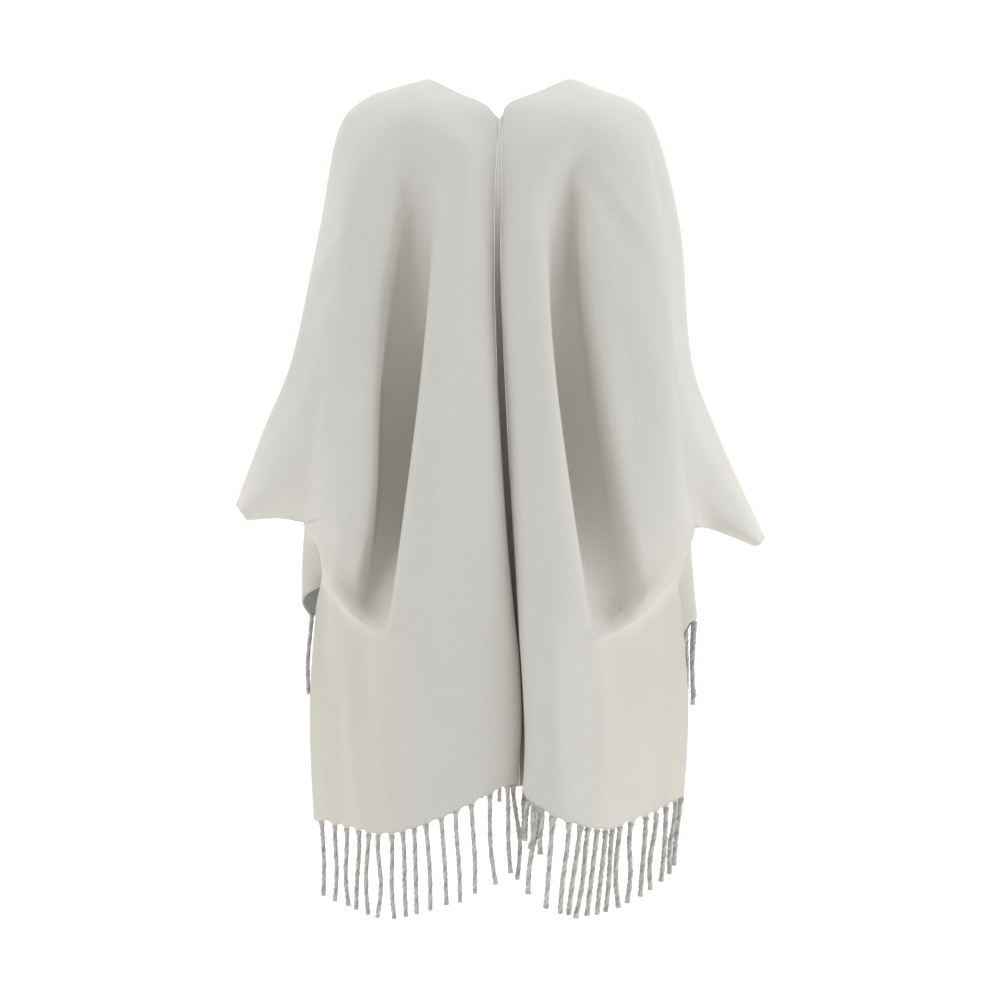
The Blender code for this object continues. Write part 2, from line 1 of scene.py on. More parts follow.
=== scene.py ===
"""Looks of the ruana-style poncho: felted double-face wool, ivory outside and
heather grey inside, a narrow centre back band and twisted tassels."""
import math
import bpy
import numpy as np
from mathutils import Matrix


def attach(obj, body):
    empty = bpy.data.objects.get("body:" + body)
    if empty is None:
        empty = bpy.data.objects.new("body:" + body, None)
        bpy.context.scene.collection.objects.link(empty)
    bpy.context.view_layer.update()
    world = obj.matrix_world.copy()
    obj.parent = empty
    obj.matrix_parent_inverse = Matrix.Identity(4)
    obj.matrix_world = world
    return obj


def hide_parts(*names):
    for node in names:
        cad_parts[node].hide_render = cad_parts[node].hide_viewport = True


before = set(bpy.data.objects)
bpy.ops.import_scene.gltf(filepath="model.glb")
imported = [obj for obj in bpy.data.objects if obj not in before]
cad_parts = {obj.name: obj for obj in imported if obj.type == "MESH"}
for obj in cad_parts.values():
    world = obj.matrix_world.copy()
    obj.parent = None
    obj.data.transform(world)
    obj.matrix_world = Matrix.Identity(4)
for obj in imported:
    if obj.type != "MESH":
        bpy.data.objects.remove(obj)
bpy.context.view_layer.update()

MM = 0.001
CLOTH = 2.6
SEAM_GAP = 0.3
WING_ROOM = 6.0
BAND_SIDES_TOP = -23.0     # the V of the neck, at the band's sides and middle
BAND_MIDDLE_TOP = -30.0

# Columns: level, across, depth, height, in millimetres, as in the part.
# --- fold tables ---
LEFT_BACK = {
    "edge": (
        ("ridge", -89, 0, 24),
        ("yoke", -50, -36, 4),
        ("cap", -14, -58, -15),
        ("nape", -5, -70, -32),
        ("blade", -7, -90, -115),
        ("loin", -8, -90, -221),
        ("elbow", -4, -78, -350),
        ("underarm", 2, -72, -486),
        ("pocket", 8, -72, -569),
        ("swag", 15, -76, -645),
        ("tuck", 17, -78, -657),
        ("skirt", 21, -92, -760),
        ("hem", 21, -98, -816),
    ),
    "groove": (
        ("ridge", -98, -3, 21),
        ("yoke", -70, -42, 1),
        ("cap", -38, -64, -19),
        ("nape", -16, -80, -49),
        ("blade", -15, -102, -119),
        ("loin", -17, -125, -226),
        ("elbow", -12, -142, -352),
        ("underarm", -4, -148, -486),
        ("pocket", 3, -143, -567),
        ("swag", 13, -133, -643),
        ("tuck", 15, -131, -655),
        ("skirt", 19, -127, -758),
        ("hem", 7, -132, -817),
    ),
    "lobe": (
        ("ridge", -109, -5, 18),
        ("yoke", -87, -55, -8),
        ("cap", -61, -82, -38),
        ("nape", -42, -100, -69),
        ("blade", -40, -121, -132),
        ("loin", -44, -139, -231),
        ("elbow", -43, -152, -355),
        ("underarm", -46, -160, -486),
        ("pocket", -49, -160, -567),
        ("swag", -51, -157, -640),
        ("tuck", -51, -157, -653),
        ("skirt", -58, -153, -761),
        ("hem", -63, -150, -851),
    ),
    "lobe_side": (
        ("ridge", -122, -6, 14),
        ("yoke", -104, -60, -16),
        ("cap", -80, -88, -49),
        ("nape", -61, -105, -89),
        ("blade", -68, -118, -145),
        ("loin", -78, -135, -236),
        ("elbow", -89, -150, -355),
        ("underarm", -105, -154, -486),
        ("pocket", -119, -151, -584),
        ("swag", -126, -146, -633),
        ("tuck", -125, -143, -647),
        ("skirt", -121, -132, -762),
        ("hem", -121, -126, -872),
    ),
    "foot": (
        ("ridge", -129, -6.5, 12),
        ("yoke", -116, -61, -20),
        ("cap", -94, -86, -56),
        ("nape", -75, -97, -93),
        ("blade", -82, -99, -150),
        ("loin", -85, -80, -237),
        ("elbow", -89, -42, -352),
        ("underarm", -106, -48, -488),
        ("pocket", -126, -116, -599),
        ("swag", -135, -136, -630),
        ("tuck", -140, -127, -646),
        ("skirt", -139, -123, -760),
        ("hem", -132, -118, -874),
    ),
    "valley": (
        ("ridge", -135, -7, 10),
        ("yoke", -127, -62, -24),
        ("cap", -115, -84, -63),
        ("nape", -106, -87, -99),
        ("blade", -111, -77, -154),
        ("loin", -123, -62, -241),
        ("elbow", -138, -50, -353),
        ("underarm", -144, -50, -489),
        ("pocket", -154, -88, -602),
        ("swag", -155, -124, -624),
        ("tuck", -157, -105, -643),
        ("skirt", -153, -108, -759),
        ("hem", -144, -108, -875),
    ),
    "sleeve_fold": (
        ("ridge", -155, -8, 3),
        ("yoke", -149, -60, -32),
        ("cap", -141, -88, -71),
        ("nape", -128, -100, -109),
        ("blade", -129, -106, -166),
        ("loin", -140, -112, -246),
        ("elbow", -146, -116, -357),
        ("underarm", -151, -116, -489),
        ("pocket", -172, -101, -586),
        ("swag", -176, -117, -606),
        ("tuck", -176, -88, -632),
        ("skirt", -173, -92, -750),
        ("hem", -164, -86, -873),
    ),
    "arm": (
        ("ridge", -186, -12, -24),
        ("yoke", -176, -58, -59),
        ("cap", -171, -84, -97),
        ("nape", -170, -96, -137),
        ("blade", -171, -103, -187),
        ("loin", -173, -109, -260),
        ("elbow", -176, -111, -363),
        ("underarm", -180, -108, -501),
        ("pocket", -188, -88, -551),
        ("swag", -195, -97, -583),
        ("tuck", -196, -60, -610),
        ("skirt", -190, -68, -742),
        ("hem", -184, -56, -871),
    ),
    "elbow_line": (
        ("ridge", -215, -24, -160),
        ("yoke", -206, -60, -184),
        ("cap", -200, -80, -211),
        ("nape", -199, -90, -242),
        ("blade", -199, -95, -280),
        ("loin", -201, -97, -330),
        ("elbow", -205, -91, -400),
        ("underarm", -206, -76, -501),
        ("pocket", -205, -58, -539),
        ("swag", -203, -72, -578),
        ("tuck", -206, -34, -603),
        ("skirt", -210, -44, -732),
        ("hem", -205, -32, -868),
    ),
    "side": (
        ("ridge", -248, -32, -316),
        ("yoke", -237, -54, -332),
        ("cap", -232, -64, -350),
        ("nape", -229, -68, -369),
        ("blade", -228, -68, -393),
        ("loin", -228, -62, -423),
        ("elbow", -230, -48, -461),
        ("underarm", -232, -20, -506),
        ("pocket", -216, -28, -538),
        ("swag", -211, -42, -564),
        ("tuck", -216, -22, -584),
        ("skirt", -226, -22, -719),
        ("hem", -222, -6, -863),
    ),
}
LEFT_BACK_WING = {
    "forearm": (
        ("ridge", -283, 28, -392),
        ("wing_1", -275, 2, -404),
        ("wing_2", -269, -13, -419),
        ("wing_3", -266, -20, -435),
        ("wing_4", -264, -22, -451),
        ("wing_5", -263, -17, -468),
        ("wing_6", -263, -5, -484),
        ("underarm", -264, 16, -501),
    ),
    "cuff": (
        ("ridge", -323, 100, -486),
        ("wing_1", -320, 78, -488),
        ("wing_2", -317, 60, -490),
        ("wing_3", -315, 50, -493),
        ("wing_4", -313, 45, -495),
        ("wing_5", -310, 44, -498),
        ("wing_6", -309, 48, -501),
        ("underarm", -307, 62, -504),
    ),
}
LEFT_FRONT = {
    "edge": (
        ("front_yoke", -86, 34, 4),
        ("front_cap", -78, 66, -36),
        ("breast", -64, 94, -112),
        ("chest", -42, 118, -246),
        ("front_underarm", -16, 132, -443),
        ("front_skirt", -4, 136, -604),
        ("front_hem", 4, 134, -759),
    ),
    "groove": (
        ("front_yoke", -100, 36, -1),
        ("front_cap", -96, 70, -41),
        ("breast", -86, 98, -118),
        ("chest", -68, 124, -248),
        ("front_underarm", -46, 139, -449),
        ("front_skirt", -36, 143, -604),
        ("front_hem", -30, 142, -749),
    ),
    "lobe": (
        ("front_yoke", -114, 38, -6),
        ("front_cap", -115, 72, -48),
        ("breast", -109, 102, -127),
        ("chest", -95, 128, -253),
        ("front_underarm", -78, 139, -455),
        ("front_skirt", -71, 142, -600),
        ("front_hem", -66, 141, -735),
    ),
    "lobe_side": (
        ("front_yoke", -128, 40, -11),
        ("front_cap", -133, 72, -56),
        ("breast", -131, 102, -136),
        ("chest", -123, 126, -260),
        ("front_underarm", -111, 134, -461),
        ("front_skirt", -105, 135, -594),
        ("front_hem", -103, 133, -717),
    ),
    "foot": (
        ("front_yoke", -136, 40, -14),
        ("front_cap", -141, 71, -61),
        ("breast", -142, 101, -143),
        ("chest", -137, 122, -266),
        ("front_underarm", -127, 129, -465),
        ("front_skirt", -122, 128, -589),
        ("front_hem", -121, 126, -706),
    ),
    "valley": (
        ("front_yoke", -144, 40, -18),
        ("front_cap", -151, 70, -66),
        ("breast", -154, 98, -149),
        ("chest", -151, 118, -271),
        ("front_underarm", -143, 123, -469),
        ("front_skirt", -139, 121, -585),
        ("front_hem", -139, 118, -694),
    ),
    "sleeve_fold": (
        ("front_yoke", -165, 38, -27),
        ("front_cap", -172, 66, -78),
        ("breast", -177, 90, -162),
        ("chest", -179, 107, -283),
        ("front_underarm", -176, 107, -478),
        ("front_skirt", -173, 101, -574),
        ("front_hem", -175, 98, -669),
    ),
    "arm": (
        ("front_yoke", -188, 30, -57),
        ("front_cap", -194, 54, -106),
        ("breast", -201, 74, -185),
        ("chest", -206, 88, -299),
        ("front_underarm", -206, 80, -487),
        ("front_skirt", -206, 72, -563),
        ("front_hem", -210, 68, -641),
    ),
    "elbow_line": (
        ("front_yoke", -218, 10, -189),
        ("front_cap", -222, 30, -226),
        ("breast", -227, 44, -274),
        ("chest", -230, 54, -359),
        ("front_underarm", -232, 34, -499),
        ("front_skirt", -237, 28, -543),
        ("front_hem", -238, 26, -601),
    ),
    "side": (
        ("front_yoke", -247, -2, -340),
        ("front_cap", -243, 16, -364),
        ("breast", -241, 26, -396),
        ("chest", -239, 26, -441),
        ("front_underarm", -232, -20, -506),
        ("front_skirt", -217, -6, -538),
        ("front_hem", -213, 6, -582),
    ),
}
LEFT_FRONT_WING = {
    "forearm": (
        ("front_wing_1", -281, 56, -410),
        ("front_wing_2", -276, 74, -430),
        ("front_wing_3", -272, 82, -451),
        ("front_wing_4", -268, 76, -475),
        ("underarm", -264, 16, -501),
    ),
    "cuff": (
        ("front_wing_1", -322, 124, -484),
        ("front_wing_2", -314, 142, -481),
        ("front_wing_3", -307, 144, -485),
        ("front_wing_4", -303, 120, -494),
        ("underarm", -307, 62, -504),
    ),
}
RIGHT_BACK = {
    "edge": (
        ("ridge", 86, 0, 24),
        ("yoke", 45, -36, 5),
        ("cap", 8, -58, -13),
        ("nape", 4, -70, -32),
        ("blade", 3, -90, -115),
        ("loin", 2, -90, -221),
        ("elbow", 8, -78, -350),
        ("underarm", 15, -72, -486),
        ("pocket", 21, -72, -569),
        ("swag", 26, -78, -645),
        ("tuck", 27, -80, -657),
        ("skirt", 32, -92, -760),
        ("hem", 31, -99, -820),
    ),
    "groove": (
        ("ridge", 96, -3, 21),
        ("yoke", 67, -42, 1),
        ("cap", 35, -64, -17),
        ("nape", 13, -80, -46),
        ("blade", 9, -101, -119),
        ("loin", 6, -122, -225),
        ("elbow", 16, -142, -352),
        ("underarm", 23, -151, -486),
        ("pocket", 28, -154, -567),
        ("swag", 31, -156, -642),
        ("tuck", 32, -157, -654),
        ("skirt", 36, -157, -756),
        ("hem", 32, -155, -828),
    ),
    "lobe": (
        ("ridge", 108, -5, 16),
        ("yoke", 85, -55, -9),
        ("cap", 60, -82, -38),
        ("nape", 40, -99, -69),
        ("blade", 32, -119, -132),
        ("loin", 30, -137, -231),
        ("elbow", 37, -152, -355),
        ("underarm", 47, -164, -486),
        ("pocket", 55, -168, -567),
        ("swag", 60, -170, -639),
        ("tuck", 61, -170, -652),
        ("skirt", 65, -170, -759),
        ("hem", 67, -166, -852),
    ),
    "lobe_side": (
        ("ridge", 121, -6, 11),
        ("yoke", 104, -60, -18),
        ("cap", 80, -88, -51),
        ("nape", 59, -104, -86),
        ("blade", 50, -116, -143),
        ("loin", 53, -134, -236),
        ("elbow", 63, -150, -355),
        ("underarm", 80, -156, -486),
        ("pocket", 93, -155, -573),
        ("swag", 99, -150, -638),
        ("tuck", 100, -147, -652),
        ("skirt", 107, -142, -761),
        ("hem", 107, -144, -864),
    ),
    "foot": (
        ("ridge", 128, -6.5, 8),
        ("yoke", 114, -61, -22),
        ("cap", 91, -86, -57),
        ("nape", 70, -98, -93),
        ("blade", 65, -100, -148),
        ("loin", 61, -84, -236),
        ("elbow", 62, -46, -352),
        ("underarm", 80, -46, -487),
        ("pocket", 105, -116, -602),
        ("swag", 113, -142, -636),
        ("tuck", 116, -132, -652),
        ("skirt", 122, -132, -760),
        ("hem", 118, -132, -867),
    ),
    "valley": (
        ("ridge", 135, -7, 6),
        ("yoke", 123, -62, -27),
        ("cap", 106, -86, -63),
        ("nape", 88, -86, -100),
        ("blade", 87, -77, -154),
        ("loin", 90, -62, -241),
        ("elbow", 103, -58, -354),
        ("underarm", 121, -56, -489),
        ("pocket", 136, -89, -605),
        ("swag", 129, -130, -630),
        ("tuck", 132, -110, -650),
        ("skirt", 138, -114, -758),
        ("hem", 130, -116, -868),
    ),
    "sleeve_fold": (
        ("ridge", 156, -8, -2),
        ("yoke", 148, -60, -35),
        ("cap", 133, -88, -73),
        ("nape", 106, -100, -112),
        ("blade", 103, -107, -167),
        ("loin", 109, -112, -246),
        ("elbow", 125, -114, -357),
        ("underarm", 147, -98, -489),
        ("pocket", 168, -90, -579),
        ("swag", 159, -119, -613),
        ("tuck", 160, -82, -638),
        ("skirt", 162, -88, -751),
        ("hem", 158, -78, -862),
    ),
    "arm": (
        ("ridge", 177, -12, -20),
        ("yoke", 172, -58, -61),
        ("cap", 163, -84, -100),
        ("nape", 155, -97, -140),
        ("blade", 150, -106, -189),
        ("loin", 150, -114, -262),
        ("elbow", 155, -109, -365),
        ("underarm", 169, -94, -498),
        ("pocket", 179, -80, -560),
        ("swag", 176, -101, -600),
        ("tuck", 180, -60, -624),
        ("skirt", 183, -64, -743),
        ("hem", 185, -42, -854),
    ),
    "elbow_line": (
        ("ridge", 213, -24, -148),
        ("yoke", 202, -60, -177),
        ("cap", 196, -80, -207),
        ("nape", 193, -92, -240),
        ("blade", 191, -98, -280),
        ("loin", 192, -100, -332),
        ("elbow", 198, -91, -405),
        ("underarm", 207, -68, -504),
        ("pocket", 204, -54, -546),
        ("swag", 194, -74, -583),
        ("tuck", 199, -36, -607),
        ("skirt", 204, -42, -732),
        ("hem", 204, -24, -845),
    ),
    "side": (
        ("ridge", 228, -32, -316),
        ("yoke", 221, -54, -331),
        ("cap", 218, -64, -348),
        ("nape", 217, -68, -367),
        ("blade", 217, -68, -390),
        ("loin", 220, -62, -421),
        ("elbow", 224, -48, -461),
        ("underarm", 232, -20, -512),
        ("pocket", 219, -28, -555),
        ("swag", 212, -42, -581),
        ("tuck", 215, -22, -602),
        ("skirt", 224, -20, -725),
        ("hem", 219, -6, -838),
    ),
}
RIGHT_BACK_WING = {
    "forearm": (
        ("ridge", 262, 28, -400),
        ("wing_1", 256, 2, -413),
        ("wing_2", 252, -13, -427),
        ("wing_3", 250, -20, -443),
        ("wing_4", 248, -22, -459),
        ("wing_5", 249, -17, -475),
        ("wing_6", 249, -5, -493),
        ("underarm", 251, 16, -513),
    ),
    "cuff": (
        ("ridge", 323, 100, -524),
        ("wing_1", 322, 78, -527),
        ("wing_2", 319, 60, -529),
        ("wing_3", 317, 50, -531),
        ("wing_4", 315, 45, -533),
        ("wing_5", 313, 44, -534),
        ("wing_6", 310, 48, -534),
        ("underarm", 309, 62, -535),
    ),
}
RIGHT_FRONT = {
    "edge": (
        ("front_yoke", 82, 34, 4),
        ("front_cap", 74, 66, -36),
        ("breast", 64, 94, -112),
        ("chest", 49, 118, -246),
        ("front_underarm", 37, 132, -443),
        ("front_skirt", 33, 136, -604),
        ("front_hem", 35, 132, -812),
    ),
    "groove": (
        ("front_yoke", 97, 36, -1),
        ("front_cap", 93, 70, -41),
        ("breast", 85, 98, -118),
        ("chest", 73, 124, -248),
        ("front_underarm", 64, 139, -449),
        ("front_skirt", 63, 143, -606),
        ("front_hem", 64, 140, -798),
    ),
    "lobe": (
        ("front_yoke", 111, 38, -6),
        ("front_cap", 112, 72, -48),
        ("breast", 108, 102, -127),
        ("chest", 99, 128, -253),
        ("front_underarm", 94, 139, -455),
        ("front_skirt", 95, 142, -604),
        ("front_hem", 98, 139, -778),
    ),
    "lobe_side": (
        ("front_yoke", 127, 40, -11),
        ("front_cap", 130, 72, -56),
        ("breast", 130, 102, -136),
        ("chest", 126, 126, -260),
        ("front_underarm", 125, 134, -461),
        ("front_skirt", 127, 135, -597),
        ("front_hem", 131, 132, -752),
    ),
    "foot": (
        ("front_yoke", 135, 40, -14),
        ("front_cap", 139, 71, -61),
        ("breast", 141, 101, -143),
        ("chest", 139, 122, -266),
        ("front_underarm", 141, 129, -465),
        ("front_skirt", 144, 128, -594),
        ("front_hem", 147, 126, -737),
    ),
    "valley": (
        ("front_yoke", 143, 40, -18),
        ("front_cap", 147, 70, -66),
        ("breast", 152, 98, -149),
        ("chest", 153, 118, -271),
        ("front_underarm", 155, 123, -469),
        ("front_skirt", 160, 121, -590),
        ("front_hem", 163, 118, -721),
    ),
    "sleeve_fold": (
        ("front_yoke", 163, 38, -27),
        ("front_cap", 168, 66, -78),
        ("breast", 174, 90, -162),
        ("chest", 178, 107, -283),
        ("front_underarm", 184, 107, -478),
        ("front_skirt", 190, 101, -578),
        ("front_hem", 191, 98, -688),
    ),
    "arm": (
        ("front_yoke", 185, 30, -57),
        ("front_cap", 189, 54, -106),
        ("breast", 195, 74, -185),
        ("chest", 199, 88, -299),
        ("front_underarm", 209, 80, -489),
        ("front_skirt", 215, 72, -568),
        ("front_hem", 216, 68, -658),
    ),
    "elbow_line": (
        ("front_yoke", 214, 10, -175),
        ("front_cap", 217, 30, -214),
        ("breast", 221, 44, -264),
        ("chest", 225, 54, -356),
        ("front_underarm", 228, 34, -502),
        ("front_skirt", 231, 28, -555),
        ("front_hem", 237, 26, -626),
    ),
    "side": (
        ("front_yoke", 228, -2, -338),
        ("front_cap", 229, 16, -362),
        ("breast", 231, 27, -393),
        ("chest", 232, 26, -444),
        ("front_underarm", 232, -20, -512),
        ("front_skirt", 219, -6, -542),
        ("front_hem", 211, 6, -652),
    ),
}
RIGHT_FRONT_WING = {
    "forearm": (
        ("front_wing_1", 261, 56, -418),
        ("front_wing_2", 259, 74, -439),
        ("front_wing_3", 256, 82, -462),
        ("front_wing_4", 254, 76, -486),
        ("underarm", 251, 16, -513),
    ),
    "cuff": (
        ("front_wing_1", 321, 124, -523),
        ("front_wing_2", 312, 142, -518),
        ("front_wing_3", 305, 144, -521),
        ("front_wing_4", 302, 120, -528),
        ("underarm", 309, 62, -535),
    ),
}
# --- end of fold tables ---

# Tassels of the back hems, in millimetres. Columns: root across, tip across, tip height.
# --- tassel tables ---
TASSELS_LEFT = (
    (16, 21, -924),
    (8, 12, -915),
    (-12, -5, -927),
    (-33, -29, -937),
    (-51, -46, -947),
    (-68, -62, -950),
    (-86, -81, -957),
    (-100, -97, -962),
    (-114, -110, -966),
    (-127, -124, -969),
    (-142, -143, -969),
    (-154, -155, -967),
    (-167, -170, -963),
    (-182, -180, -961),
    (-196, -196, -957),
    (-213, -211, -953),
)
TASSELS_RIGHT = (
    (33, 29, -875),
    (42, 31, -936),
    (62, 53, -952),
    (79, 69, -959),
    (93, 79, -961),
    (103, 88, -966),
    (113, 101, -964),
    (123, 113, -964),
    (132, 124, -962),
    (141, 139, -959),
    (156, 151, -955),
    (173, 166, -950),
    (185, 178, -944),
    (198, 192, -935),
    (209, 202, -927),
    (217, 208, -918),
)
# --- end of tassel tables ---

BODY_FOLDS = tuple(LEFT_BACK)
WING_FOLDS = tuple(LEFT_BACK_WING)
STEPS = (14, 20, 22, 18, 14, 16, 18, 18, 18, 18, 18)     # facets between two fold lines
COUNTS = (22, 40, 80, 34, 9, 44)                          # rows: front hem, front, back, pocket, tuck, skirt


# ---------------------------------------------------------------- curves
def columns(rows):
    return np.array([row[1:] for row in rows], float)


def slopes(points):
    step = np.sqrt(np.linalg.norm(np.diff(points, axis=0), axis=1))
    step = np.maximum(step, 1e-6)[:, None]
    secant = np.diff(points, axis=0) / step
    tangent = np.empty_like(points)
    tangent[1:-1] = (secant[1:] * step[:-1] + secant[:-1] * step[1:]) / (step[1:] + step[:-1])
    tangent[0] = 1.5 * secant[0] - 0.5 * tangent[1]
    tangent[-1] = 1.5 * secant[-1] - 0.5 * tangent[-2]
    return step, tangent


def between(points, step, tangent, i, t):
    t = np.asarray(t, float)[:, None]
    a, b = points[i], points[i + 1]
    m, n = tangent[i] * step[i], tangent[i + 1] * step[i]
    return (
        (2 * t**3 - 3 * t**2 + 1) * a
        + (t**3 - 2 * t**2 + t) * m
        + (3 * t**2 - 2 * t**3) * b
        + (t**3 - t**2) * n
    )


def across(points, steps):
    step, tangent = slopes(points)
    parts = []
    for i in range(len(points) - 1):
        parts.append(between(points, step, tangent, i, np.arange(steps[i]) / steps[i]))
    return np.vstack(parts + [points[-1:]])


def down(points, marks, counts):
    step, tangent = slopes(points)
    t = np.arange(24) / 24
    out = []
    for (a, b), count in zip(zip(marks[:-1], marks[1:]), counts):
        fine = np.vstack([between(points, step, tangent, i, t) for i in range(a, b)] + [points[b:b + 1]])
        along = np.r_[0, np.cumsum(np.linalg.norm(np.diff(fine, axis=0), axis=1))]
        want = np.linspace(0, along[-1], count + 1)[:-1]
        out.append(np.column_stack([np.interp(want, along, fine[:, c]) for c in range(3)]))
    return np.vstack(out + [points[marks[-1]:marks[-1] + 1]])


def net(back, back_wing, front, front_wing, counts, steps):
    hem_steps, front_steps, back_steps = counts[:3]
    body = []
    for fold in BODY_FOLDS:
        fore, rear = columns(front[fold])[::-1], columns(back[fold])
        ridge = len(fore)
        names = [row[0] for row in back[fold]]
        marks = [0, 2, ridge] + [ridge + names.index(name) for name in ("underarm", "swag", "tuck", "hem")]
        body.append(down(np.vstack([fore, rear]), marks, counts))
    wing = []
    for fold in WING_FOLDS:
        fore, rear = columns(front_wing[fold])[::-1], columns(back_wing[fold])
        marks = [0, len(fore), len(fore) + len(rear) - 1]
        wing.append(down(np.vstack([fore, rear]), marks, (front_steps, back_steps)))
    first, last = hem_steps, hem_steps + front_steps + back_steps
    rows = []
    for r in range(len(body[0])):
        line = [column[r] for column in body]
        if first <= r <= last:
            line += [column[r - first] for column in wing]
        rows.append(across(np.array(line), steps))
    width = sum(steps[:len(BODY_FOLDS) - 1])
    rows[first][width:] = rows[last][width:]
    seam, top = rows[last], rows[first + front_steps]
    for i in range(1, front_steps):
        # the wing's front layer stays clear of its back layer beside the seam
        fore, rear = rows[first + i], rows[last - round(i * back_steps / front_steps)]
        room = WING_ROOM * np.ones(len(fore) - width)
        for edge in (seam, top):
            room *= 1 - np.exp(-np.linalg.norm(fore[width:] - edge[width:], axis=1) / 3)
        fore[width:, 1] += np.maximum(room - (fore[width:, 1] - rear[width:, 1]), 0)
    return rows, first, last, width


def sheet_of(rows, first, last, width):
    index, points = [], []
    for r, row in enumerate(rows):
        index.append([])
        for c, p in enumerate(row):
            if r == last and c >= width:
                index[r].append(index[first][c])
            else:
                index[r].append(len(points))
                points.append(p)
    faces = []
    for r in range(len(rows) - 1):
        wide = min(len(rows[r]), len(rows[r + 1]))
        a, b = index[r], index[r + 1]
        faces += [(a[c], a[c + 1], b[c + 1], b[c]) for c in range(wide - 1)]
    return np.array(points), np.array(faces), index


def normals(points, faces):
    out = np.zeros_like(points)
    n = np.cross(points[faces[:, 2]] - points[faces[:, 0]], points[faces[:, 3]] - points[faces[:, 1]])
    for k in range(4):
        np.add.at(out, faces[:, k], n)
    return out / np.maximum(np.linalg.norm(out, axis=1), 1e-9)[:, None]


def boundary(faces):
    """Edges that only one face has, in that face's direction."""
    seen = set()
    for f in faces.tolist():
        for a, b in zip(f, f[1:] + f[:1]):
            seen.add((a, b))
    return [(a, b) for a, b in seen if (b, a) not in seen]


def shell(points, faces, wall):
    """Outer layer, inner layer and a rounded edge between them. Returns vertices, faces and a material for each face."""
    n = normals(points, faces)
    rim = boundary(faces)
    count = len(points)
    nxt = dict(rim)
    prv = {b: a for a, b in rim}
    ring = sorted(nxt)
    push = np.zeros((len(ring), 3))
    for i, v in enumerate(ring):
        along = points[nxt[v]] - points[prv[v]]
        outward = np.cross(along, n[v])
        push[i] = outward / max(np.linalg.norm(outward), 1e-9)
    middle = points[ring] + push * wall * 0.32
    place = {v: 2 * count + i for i, v in enumerate(ring)}
    verts = np.vstack([points + n * wall / 2, points - n * wall / 2, middle])
    quads = faces.tolist()
    material = [0] * len(quads)
    back = (faces[:, ::-1] + count).tolist()
    quads += back
    material += [1] * len(back)
    for a, b in rim:
        quads.append([b, a, place[a], place[b]])
        quads.append([place[b], place[a], a + count, b + count])
        material += [0, 1]
    return verts, quads, material


# ---------------------------------------------------------------- meshes
def mesh_piece(name, verts, faces, materials, index=None, smooth=True):
    mesh = bpy.data.meshes.new(name)
    mesh.from_pydata((np.asarray(verts) * MM).tolist(), [], faces)
    for m in materials:
        mesh.materials.append(m)
    if index is not None:
        mesh.polygons.foreach_set("material_index", index)
    if smooth:
        mesh.shade_smooth()
    mesh.update()
    made = bpy.data.objects.new(name, mesh)
    bpy.context.scene.collection.objects.link(made)
    return made


# ---------------------------------------------------------------- materials
def nodes_of(name):
    m = bpy.data.materials.new(name)
    m.use_nodes = True
    tree = m.node_tree
    shader = tree.nodes["Principled BSDF"]
    shader.inputs["Metallic"].default_value = 0.0
    return m, tree, shader


def noise(tree, scale, detail, coords, rough=0.55, stretch=None):
    n = tree.nodes.new("ShaderNodeTexNoise")
    n.inputs["Scale"].default_value = scale
    n.inputs["Detail"].default_value = detail
    n.inputs["Roughness"].default_value = rough
    source = coords
    if stretch:
        m = tree.nodes.new("ShaderNodeMapping")
        m.inputs["Scale"].default_value = stretch
        tree.links.new(coords, m.inputs["Vector"])
        source = m.outputs["Vector"]
    tree.links.new(source, n.inputs["Vector"])
    return n.outputs["Fac"]


def ramp(tree, factor, stops):
    r = tree.nodes.new("ShaderNodeValToRGB")
    while len(r.color_ramp.elements) < len(stops):
        r.color_ramp.elements.new(0.5)
    for e, (at, colour) in zip(r.color_ramp.elements, stops):
        e.position = at
        e.color = (*colour, 1)
    tree.links.new(factor, r.inputs["Fac"])
    return r.outputs["Color"]


def mix(tree, a, b, factor, kind="MIX"):
    m = tree.nodes.new("ShaderNodeMix")
    m.data_type = "RGBA"
    m.blend_type = kind
    if isinstance(factor, float):
        m.inputs["Factor"].default_value = factor
    else:
        tree.links.new(factor, m.inputs["Factor"])
    for value, socket in ((a, m.inputs[6]), (b, m.inputs[7])):
        if isinstance(value, tuple):
            socket.default_value = (*value, 1)
        else:
            tree.links.new(value, socket)
    return m.outputs[2]


def bump(tree, height, strength, distance, before=None):
    b = tree.nodes.new("ShaderNodeBump")
    b.inputs["Strength"].default_value = strength
    b.inputs["Distance"].default_value = distance
    tree.links.new(height, b.inputs["Height"])
    if before is not None:
        tree.links.new(before, b.inputs["Normal"])
    return b.outputs["Normal"]


def reach(tree, value, start, end):
    """0 before the start, 1 past the end, smooth between them."""
    r = tree.nodes.new("ShaderNodeMapRange")
    r.interpolation_type = "SMOOTHSTEP"
    r.inputs["From Min"].default_value = start
    r.inputs["From Max"].default_value = end
    tree.links.new(value, r.inputs["Value"])
    return r.outputs["Result"]


def arithmetic(tree, kind, a, b=None):
    n = tree.nodes.new("ShaderNodeMath")
    n.operation = kind
    for value, socket in ((a, n.inputs[0]), (b, n.inputs[1])):
        if isinstance(value, float):
            socket.default_value = value
        elif value is not None:
            tree.links.new(value, socket)
    return n.outputs[0]


